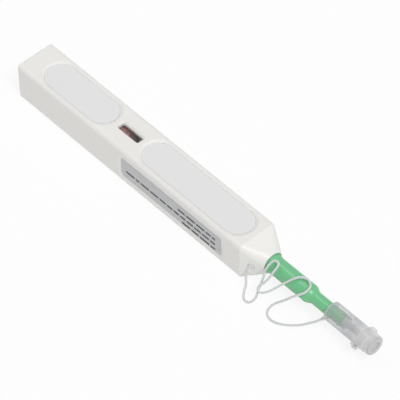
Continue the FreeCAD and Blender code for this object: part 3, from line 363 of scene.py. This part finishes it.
@dataclass(frozen=True)
class Glazed:
    """Clear window plastic: little colour of its own, a polished face with faint wipe marks."""

    name: str
    colour: Colour
    cover: float
    gloss: float = 0.25

    def material(self) -> bpy.types.Material:
        """Builds the material."""
        material, wires = new_material(self.name)
        wipes = wires.grain(1.5 * MILLIMETRE, 4.0)
        wires.surface(
            Base_Color=wires.blend(wipes, self.colour, WHITE),
            Roughness=0.06 + wipes * 0.08,
            Alpha=self.cover + wipes * 0.02,
            Specular_IOR_Level=self.gloss,
        )
        return material


@dataclass(frozen=True)
class Wound:
    """Cleaning tape or thread: fine parallel fibres with a soft dusty face, and painted shade in
    the grooves between them.
    """

    name: str
    colour: Colour
    valley_shade: Colour
    pitch: float
    across: Point
    depth: float = 0.03 * MILLIMETRE

    def material(self) -> bpy.types.Material:
        """Builds the material."""
        material, wires = new_material(self.name)
        wobble = wires.grain(0.5 * MILLIMETRE)
        turn = wires.along(self.across) * (2 * math.pi / self.pitch) + wobble * 2.0
        wave = turn.sine() * 0.5 + 0.5
        wires.surface(
            # The darker tone in the low part of the wave is painted shade in the grooves.
            Base_Color=wires.blend(wave, self.valley_shade, self.colour),
            Roughness=0.85 + wobble * 0.1,
            Normal=wires.bump(wave, self.depth),
        )
        return material


@dataclass(frozen=True)
class DrawnSteel:
    """Drawn wire and turned pins: fine streaks in the roughness."""

    name: str
    colour: Colour
    streak: Colour = (0.42, 0.42, 0.43)
    roughness: float = 0.32

    def material(self) -> bpy.types.Material:
        """Builds the material."""
        material, wires = new_material(self.name)
        streaks = wires.grain(0.2 * MILLIMETRE, 5.0)
        wires.surface(
            Base_Color=wires.blend(streaks, self.colour, self.streak),
            Roughness=self.roughness + (streaks - 0.5) * 0.2,
            Metallic=1.0,
        )
        return material


@dataclass(frozen=True)
class Film:
    """Printed film of a label: flat tone, faint paper mottle and a satin face."""

    name: str
    colour: Colour
    mottle: Colour
    roughness: float
    depth: float = 0.004 * MILLIMETRE

    def material(self) -> bpy.types.Material:
        """Builds the material."""
        material, wires = new_material(self.name)
        fibre = wires.grain(0.3 * MILLIMETRE, 4.0)
        wires.surface(
            Base_Color=wires.blend(fibre, self.colour, self.mottle),
            Roughness=self.roughness + (fibre - 0.5) * 0.12,
            Normal=wires.bump(fibre, self.depth),
        )
        return material


Finish = Moulded | Frosted | Glazed | Wound | DrawnSteel | Film


WARM_WHITE = Moulded("case_white", (0.86, 0.852, 0.83), (0.83, 0.82, 0.795), 0.42)
PANEL_WHITE = Moulded(
    "panel_white", (0.80, 0.80, 0.80), (0.775, 0.775, 0.775), 0.6,
    grain=0.2 * MILLIMETRE, depth=0.012 * MILLIMETRE, edge=0.15 * MILLIMETRE,
)
INNER_WHITE = Moulded("carriage_white", (0.80, 0.80, 0.78), (0.74, 0.74, 0.71), 0.5)
GUIDE_WHITE = Moulded("guide_white", (0.84, 0.84, 0.82), (0.78, 0.78, 0.76), 0.4)
NOZZLE_GREEN = Moulded(
    "nozzle_green", (0.178, 0.57, 0.28), (0.162, 0.54, 0.26), 0.34,
    grain=0.3 * MILLIMETRE, depth=0.001 * MILLIMETRE, cloud=5 * MILLIMETRE,
    edge=0.2 * MILLIMETRE, coat=0.35, coat_roughness=0.22,
)
# Painted light: this brown is lighter than the plastic's own colour, to make up for the shade
# inside the case.
DRUM_BROWN_PAINTED_LIGHT = Moulded(
    "drum_brown_painted_light", (0.52, 0.25, 0.22), (0.40, 0.17, 0.15), 0.45, edge=0.1 * MILLIMETRE
)
CORD_TONE: Colour = (0.70, 0.715, 0.715)
PLUG_TONE: Colour = (0.82, 0.82, 0.82)
# Painted highlight: the light tone of the thin lines that the rims of the cap and lid catch.
RIM_HIGHLIGHT_TONE: Colour = (0.80, 0.80, 0.80)
CLEAR_TONE: Colour = (0.56, 0.585, 0.59)
MILKY_TONE: Colour = (0.56, 0.57, 0.585)
PALE_TONE: Colour = (0.79, 0.79, 0.79)
END_TONE: Colour = (0.52, 0.52, 0.52)
# The narrow light bands at the cap's rear rim paint a highlight line there.
CAP_FROST = Frosted("cap_frost", (
    Band(0.0846, RIM_HIGHLIGHT_TONE, 0.80), Band(0.0851, RIM_HIGHLIGHT_TONE, 0.70), Band(0.0855, CLEAR_TONE, 0.18),
    Band(0.0945, CLEAR_TONE, 0.18), Band(0.0955, MILKY_TONE, 0.45), Band(0.1020, MILKY_TONE, 0.5),
    Band(0.1050, PALE_TONE, 0.5), Band(0.1090, PALE_TONE, 0.5),
), 0.34, edge_cover=0.75)
# The narrow light bands at the lid's start edge and ring edge paint highlight lines there.
LID_FROST = Frosted("lid_frost", (
    Band(0.1040, PALE_TONE, 0.6), Band(0.1053, RIM_HIGHLIGHT_TONE, 0.7), Band(0.1056, RIM_HIGHLIGHT_TONE, 0.7),
    Band(0.1059, PALE_TONE, 0.5), Band(0.1091, PALE_TONE, 0.55), Band(0.1094, RIM_HIGHLIGHT_TONE, 0.8),
    Band(0.1098, PALE_TONE, 0.6), Band(0.1120, PALE_TONE, 0.6), Band(0.1124, END_TONE, 0.8),
    Band(0.1130, END_TONE, 0.8),
), 0.34)
TETHER_FROST = Frosted("tether_frost", (
    Band(0.0400, CORD_TONE, 0.8), Band(0.0860, CORD_TONE, 0.8),
), 0.42, edge_cover=0.8, flow=4.0 * MILLIMETRE, depth=0.0)
PLUG_FROST = Frosted("plug_frost", (
    Band(0.0400, PLUG_TONE, 0.8), Band(0.0450, PLUG_TONE, 0.8),
), 0.34)
WINDOW_CLEAR = Glazed("window_clear", (0.9, 0.9, 0.9), 0.02)
# The second, darker tone of the tape and the thread is painted shade in their grooves.
TAPE_WHITE = Wound(
    "tape_white", (0.86, 0.85, 0.84), (0.60, 0.58, 0.57), 0.35 * MILLIMETRE, (0.0, 1.0, 0.0)
)
THREAD_WHITE = Wound(
    "thread_white", (0.88, 0.88, 0.86), (0.66, 0.66, 0.64), 0.12 * MILLIMETRE, (0.0, 0.7, 0.7)
)
STEEL = DrawnSteel("drawn_steel", (0.60, 0.60, 0.61))
LABEL_GREY = Film("label_grey", (0.585, 0.59, 0.60), (0.55, 0.555, 0.565), 0.5)
PRINT_BLACK = Film("print_black", (0.03, 0.03, 0.033), (0.05, 0.05, 0.052), 0.55)


def material_of(finish: Finish) -> bpy.types.Material:
    """The finish's material, made the first time that it is asked for."""
    return bpy.data.materials.get(finish.name) or finish.material()


def dress(node: str, finish: Finish) -> None:
    """Gives every material slot of a node of the model the finish."""
    material = material_of(finish)
    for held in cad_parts[node].material_slots:
        held.material = material
    log.info("dressed %s in %s", node, finish.name)


def new_piece(name: str, mesh: bpy.types.Mesh, finish: Finish) -> bpy.types.Object:
    """Makes a piece of the scene from a mesh.

    Args:
        name: the piece's name.
        mesh: its mesh, in metres in the model's frame.
        finish: its finish.

    Returns:
        The new object.
    """
    piece = bpy.data.objects.new(name, mesh)
    bpy.context.scene.collection.objects.link(piece)
    mesh.materials.append(material_of(finish))
    log.info("made %s with %d faces", name, len(mesh.polygons))
    return piece


# ---------------------------------------------------------------- camera and light


@dataclass
class Shot:
    """The camera: a long lens that looks down on the pen from its label side."""

    azimuth: float = 49.134
    elevation: float = 49.124
    roll: float = -1.883
    distance: float = 1.657
    lens: float = 332.8
    sensor: float = 36.0
    clip: tuple[float, float] = (0.05, 20.0)
    aim: Point = (-0.0005, -0.00035, 0.01029)
    shift: tuple[float, float] = (0.0037, 0.0073)

    def build(self) -> None:
        """Makes the camera and the scene's current one."""
        turn, lift = math.radians(self.azimuth), math.radians(self.elevation)
        flat = math.cos(lift)
        back = Vector((math.sin(turn) * flat, -math.cos(turn) * flat, math.sin(lift)))
        data = bpy.data.cameras.new("shot")
        data.lens, data.sensor_width = self.lens, self.sensor
        data.shift_x, data.shift_y = self.shift
        data.clip_start, data.clip_end = self.clip
        camera = bpy.data.objects.new("shot", data)
        camera.rotation_mode = "QUATERNION"
        camera.location = Vector(self.aim) + back * self.distance
        level = (-back).to_track_quat("-Z", "Y").to_matrix()
        tipped = level @ Matrix.Rotation(math.radians(self.roll), 3, "Z")
        camera.rotation_quaternion = tipped.to_quaternion()
        bpy.context.scene.collection.objects.link(camera)
        bpy.context.scene.camera = camera
        log.info("camera made")


@dataclass(frozen=True)
class Lamp:
    """A distant soft lamp: its strength, where it shines from and how wide it looks."""

    name: str
    strength: float
    shines_from: Point
    spread: float

    def build(self) -> None:
        """Hangs the lamp."""
        data = bpy.data.lights.new(self.name, "SUN")
        data.energy = self.strength
        data.angle = math.radians(self.spread)
        lamp = bpy.data.objects.new(self.name, data)
        lamp.rotation_mode = "QUATERNION"
        lamp.rotation_quaternion = Vector(self.shines_from).to_track_quat("Z", "Y")
        lamp.location = self.shines_from
        bpy.context.scene.collection.objects.link(lamp)


@dataclass
class Studio:
    """Plain pale floor, white surroundings, a soft lamp from above and a faint one from behind."""

    floor_half: float = 3.0
    floor_drop: float = 0.05 * MILLIMETRE
    floor_tone: Colour = (0.93, 0.93, 0.93)
    floor_glow: float = 0.85
    room: float = 0.5
    lamps: list[Lamp] = field(default_factory=lambda: [
        Lamp("softbox", 1.52, (0.56, -0.12, 0.82), 25.0),
        Lamp("strip", 0.25, (-0.494, 0.024, 0.868), 14.0),
    ])

    def build(self) -> None:
        """Makes the floor, the surroundings and the lamps."""
        bpy.context.scene.view_settings.view_transform = "Standard"
        self._floor()
        self._room()
        for lamp in self.lamps:
            lamp.build()
        log.info("studio made")

    def _floor(self) -> None:
        """Lays the floor under the pen."""
        half = self.floor_half
        mesh = bpy.data.meshes.new("floor")
        corners = [(-half, -half, 0.0), (half, -half, 0.0), (half, half, 0.0), (-half, half, 0.0)]
        mesh.from_pydata(corners, [], [(0, 1, 2, 3)])
        floor = bpy.data.objects.new("floor", mesh)
        floor.location.z = -self.floor_drop
        bpy.context.scene.collection.objects.link(floor)
        material, wires = new_material("floor_pale")
        mat = wires.node("ShaderNodeBsdfDiffuse", inputs={"Color": (*self.floor_tone, 1.0)})
        glow = wires.node("ShaderNodeEmission", inputs={"Color": (*WHITE, 1.0), "Strength": 1.0})
        share = self._seen(wires) * self.floor_glow
        wires.finish(wires.node("ShaderNodeMixShader", inputs={0: share, 1: mat, 2: glow}))
        mesh.materials.append(material)

    def _room(self) -> None:
        """Makes the world: even light, seen as white."""
        world = bpy.data.worlds.new("room")
        world.use_nodes = True
        bpy.context.scene.world = world
        wires = Wiring(world.node_tree)
        strength = self.room + self._seen(wires) * (1.0 - self.room)
        light = wires.node(
            "ShaderNodeBackground", inputs={"Color": (*WHITE, 1.0), "Strength": strength}
        )
        wires.node("ShaderNodeOutputWorld", inputs={"Surface": light})

    @staticmethod
    def _seen(wires: Wiring) -> Socket:
        """1 for what the camera sees straight or through glass, and 0 for light."""
        straight, through = (
            wires.node("ShaderNodeLightPath", output=name)
            for name in ("Is Camera Ray", "Is Transmission Ray")
        )
        return (straight + through).capped()


# ---------------------------------------------------------------- tether


@dataclass
class Tether:
    """The soft cord that ties the guide cap to the nose, as one smooth line in two stretches."""

    radius: float = 0.55 * MILLIMETRE
    sides: int = 12
    parting: Point = (0.0696, 0.0017, 0.0162)
    near_start: Point = (0.0542, -0.00645, 0.01167)
    far_span: tuple[Point, Point] = ((0.0740, 0.0, 0.0162), (0.0848, 0.0, 0.0162))
    route: list[Point] = field(default_factory=lambda: [
        (0.0424, -0.01001, 0.0076), (0.04266, -0.01169, 0.00606), (0.0446, -0.0129, 0.0032),
        (0.0457, -0.0154, 0.0012), (0.0483, -0.0185, 0.0006), (0.0522, -0.0185, 0.0013),
        (0.0539, -0.0161, 0.0039), (0.0529, -0.0137, 0.006), (0.0518, -0.0111, 0.0076),
        (0.051, -0.0089, 0.0092), (0.0503, -0.0074, 0.0112), (0.0501, -0.006, 0.0133),
        (0.0505, -0.0046, 0.015), (0.0509, -0.0031, 0.0163), (0.0521, -0.0019, 0.0171),
        (0.0539, -0.0019, 0.0169), (0.0547, -0.0034, 0.0162), (0.0546, -0.0053, 0.015),
        (0.0546, -0.0073, 0.0133), (0.0543, -0.0097, 0.0114), (0.0534, -0.0113, 0.0099),
        (0.0525, -0.0123, 0.0087), (0.0525, -0.0137, 0.0078), (0.0541, -0.0144, 0.0073),
        (0.0559, -0.0136, 0.0077), (0.0575, -0.0121, 0.0086), (0.0587, -0.0102, 0.0097),
        (0.0599, -0.0081, 0.011), (0.0611, -0.0064, 0.0125), (0.0625, -0.0047, 0.014),
        (0.0639, -0.0023, 0.0154), (0.0659, 0.0003, 0.0162), (0.0696, 0.0017, 0.0162),
        (0.0728, -0.0004, 0.0156), (0.0729, -0.0042, 0.0148), (0.0706, -0.0062, 0.0131),
        (0.068, -0.0071, 0.0103), (0.0656, -0.0079, 0.0072), (0.0632, -0.0089, 0.0045),
        (0.061, -0.0105, 0.0027), (0.0601, -0.0132, 0.0016), (0.0612, -0.0164, 0.0008),
        (0.0645, -0.0178, 0.0006), (0.0681, -0.0172, 0.0008), (0.0714, -0.0157, 0.0012),
        (0.0743, -0.0138, 0.0018), (0.077, -0.0118, 0.0026), (0.0794, -0.0098, 0.0039),
        (0.0816, -0.0082, 0.0056), (0.0837, -0.0071, 0.0074), (0.0855, -0.0056, 0.0095),
    ])

    def build(self) -> None:
        line = self._line()
        split = int(np.argmin(np.linalg.norm(line - np.array(self.parting), axis=1)))
        rings = self._rings(line)
        near = self._stretch("tether_near", line[: split + 1], rings[: split + 1], (True, False))
        far = self._stretch("tether_far", line[split:], rings[split:], (False, True))
        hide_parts("tether")
        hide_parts("tether")
        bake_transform(near)
        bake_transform(far)

    def _line(self) -> np.ndarray:
        """The points of the smooth line that the route steers."""
        curve = bpy.data.curves.new("tether_line", "CURVE")
        curve.dimensions = "3D"
        curve.resolution_u = 8
        spline = curve.splines.new("NURBS")
        spline.points.add(len(self.route) - 1)
        for point, place in zip(spline.points, self.route):
            point.co = (*place, 1.0)
        spline.order_u = 3
        spline.use_endpoint_u = True
        holder = bpy.data.objects.new("tether_line", curve)
        bpy.context.scene.collection.objects.link(holder)
        ready = holder.evaluated_get(bpy.context.evaluated_depsgraph_get())
        mesh = bpy.data.meshes.new_from_object(ready)
        line = np.array([v.co for v in mesh.vertices], float)
        bpy.data.meshes.remove(mesh)
        bpy.data.objects.remove(holder)
        bpy.data.curves.remove(curve)
        return line

    def _rings(self, line: np.ndarray) -> np.ndarray:
        """Rings of points round the line, turned as little as possible from one to the next."""
        ahead = np.gradient(line, axis=0)
        ahead /= np.linalg.norm(ahead, axis=1)[:, None]
        side = Vector(ahead[0]).orthogonal().normalized()
        angles = [2 * math.pi * k / self.sides for k in range(self.sides)]
        rings = []
        for number, place in enumerate(line):
            if number:
                side = Vector(ahead[number - 1]).rotation_difference(Vector(ahead[number])) @ side
            other = Vector(ahead[number]).cross(side)
            spokes = [math.cos(a) * side + math.sin(a) * other for a in angles]
            rings.append([Vector(place) + self.radius * spoke for spoke in spokes])
        return np.array(rings)

    def _stretch(
        self, name: str, line: np.ndarray, rings: np.ndarray, closed: tuple[bool, bool]
    ) -> bpy.types.Object:
        """Skins a run of rings.

        Args:
            name: the piece's name.
            line: the points of the middle line.
            rings: the rings round those points.
            closed: whether its first and its last end are closed.

        Returns:
            The tube.
        """
        count, sides = len(rings), self.sides
        points = [tuple(p) for ring in rings for p in ring]
        faces = [
            (start + k, start + (k + 1) % sides, start + sides + (k + 1) % sides, start + sides + k)
            for start in range(0, (count - 1) * sides, sides)
            for k in range(sides)
        ]
        if closed[0]:
            faces.append(tuple(reversed(range(sides))))
        if closed[1]:
            faces.append(tuple((count - 1) * sides + k for k in range(sides)))
        mesh = bpy.data.meshes.new(name)
        mesh.from_pydata(points, [], faces)
        mesh.shade_smooth()
        return new_piece(name, mesh, TETHER_FROST)


# ---------------------------------------------------------------- case


@dataclass
class Case:
    """The white case with its finger panels, window and label."""

    def dress(self) -> None:
        """Gives the case's nodes their finishes."""
        for node in ("case_shell", "bottom_cover"):
            dress(node, WARM_WHITE)
        for node in ("rear_finger_panel", "front_finger_panel"):
            dress(node, PANEL_WHITE)
        dress("window_pane", WINDOW_CLEAR)
        dress("side_label", LABEL_GREY)
        dress("tether_plug", PLUG_FROST)


@dataclass
class LabelPrint:
    """Generic print on the side label: three rows of short dark dashes."""

    stroke: float = 1.15 * MILLIMETRE
    film: float = 0.02 * MILLIMETRE
    gap: float = 0.9 * MILLIMETRE
    shortest: float = 1.5 * MILLIMETRE
    reach: tuple[float, float] = (2.4, 6.2)
    seed: int = 7
    rows: list[tuple[float, float, float]] = field(default_factory=lambda: [
        (-0.0035, 0.0213, 0.0114),
        (-0.0384, 0.0212, 0.0080),
        (-0.0008, 0.0211, 0.0047),
    ])

    def build(self) -> None:
        """Makes the dashes as one piece on the label."""
        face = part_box("side_label")[0].y
        rng = np.random.default_rng(self.seed)
        mesh = bmesh.new()
        for start, end, height in self.rows:
            at = start
            while at < end - self.shortest:
                reach = min(rng.uniform(*self.reach) * MILLIMETRE, end - at)
                self._dash(mesh, at, at + reach, height, face)
                at += reach + self.gap
        data = bpy.data.meshes.new("label_print")
        mesh.to_mesh(data)
        mesh.free()
        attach(new_piece("label_print", data, PRINT_BLACK), Body.CASE.value)

    def _dash(
        self, mesh: bmesh.types.BMesh, start: float, end: float, height: float, face: float
    ) -> None:
        """Adds one dash.

        Args:
            mesh: the mesh that it is added to.
            start: where it starts along the pen.
            end: where it ends along the pen.
            height: the height of its middle line.
            face: where the label's face lies across the pen.
        """
        low, high = height - self.stroke / 2, height + self.stroke / 2
        front, back = face - self.film, face + self.film
        outline = ((start, low), (end, low), (end, high), (start, high))
        corners = [mesh.verts.new((x, y, z)) for y in (front, back) for x, z in outline]
        quads = ((0, 1, 2, 3), (7, 6, 5, 4), (0, 4, 5, 1), (1, 5, 6, 2), (2, 6, 7, 3), (3, 7, 4, 0))
        for quad in quads:
            mesh.faces.new([corners[k] for k in quad])


# ---------------------------------------------------------------- nozzle, cap and mechanism


@dataclass
class Nozzle:
    """The green nozzle with its white guide tube."""

    def dress(self) -> None:
        """Gives the nozzle's nodes their finishes."""
        dress("nozzle_shell", NOZZLE_GREEN)
        dress("guide_tube", GUIDE_WHITE)


@dataclass
class Cap:
    """The frosted guide cap with its flip lid."""

    def dress(self) -> None:
        """Gives the cap's nodes their finishes."""
        dress("guide_cap", CAP_FROST)
        dress("cap_lid", LID_FROST)


@dataclass
class Mechanism:
    """Carriage, reels, tape, drive gear, shaft and axles inside the case."""

    finishes: dict[str, Finish] = field(default_factory=lambda: {
        "carriage_frame": INNER_WHITE,
        "head_shaft": GUIDE_WHITE,
        "tip_thread": THREAD_WHITE,
        "supply_reel": GUIDE_WHITE,
        "tape_roll": TAPE_WHITE,
        # The reel and gear brown is painted lighter, as painted light for the shade inside the
        # case.
        "takeup_reel": DRUM_BROWN_PAINTED_LIGHT,
        "drive_gear": DRUM_BROWN_PAINTED_LIGHT,
        "takeup_axle": STEEL,
        "supply_axle": STEEL,
    })

    def dress(self) -> None:
        """Gives the inner nodes their finishes."""
        for node, finish in self.finishes.items():
            dress(node, finish)


@dataclass
class ReturnSpring:
    """The return spring, between the case's wall and the carriage; here it keeps its rest shape."""

    node: str = "return_spring"
    joint: str = "push_slide"
    stroke: float = 12 * MILLIMETRE

    def build(self) -> None:
        """Makes a copy of the spring's mesh that rides on the case, in place of the model's node.
        """
        low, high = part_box(self.node)
        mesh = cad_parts[self.node].data.copy()
        mesh.name = "spring_coil"
        mesh.materials.clear()
        spring = new_piece("spring_coil", mesh, STEEL)
        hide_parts(self.node)
        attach(spring, Body.CASE.value)
        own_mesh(spring)


def main() -> None:
    """Builds and dresses the scene in order."""
    logging.basicConfig(level=logging.INFO, format="%(message)s")
    Shot().build()
    Tether().build()
    Studio().build()
    Case().dress()
    LabelPrint().build()
    Nozzle().dress()
    Cap().dress()
    Mechanism().dress()
    ReturnSpring().build()


if __name__ == "__main__":
    main()
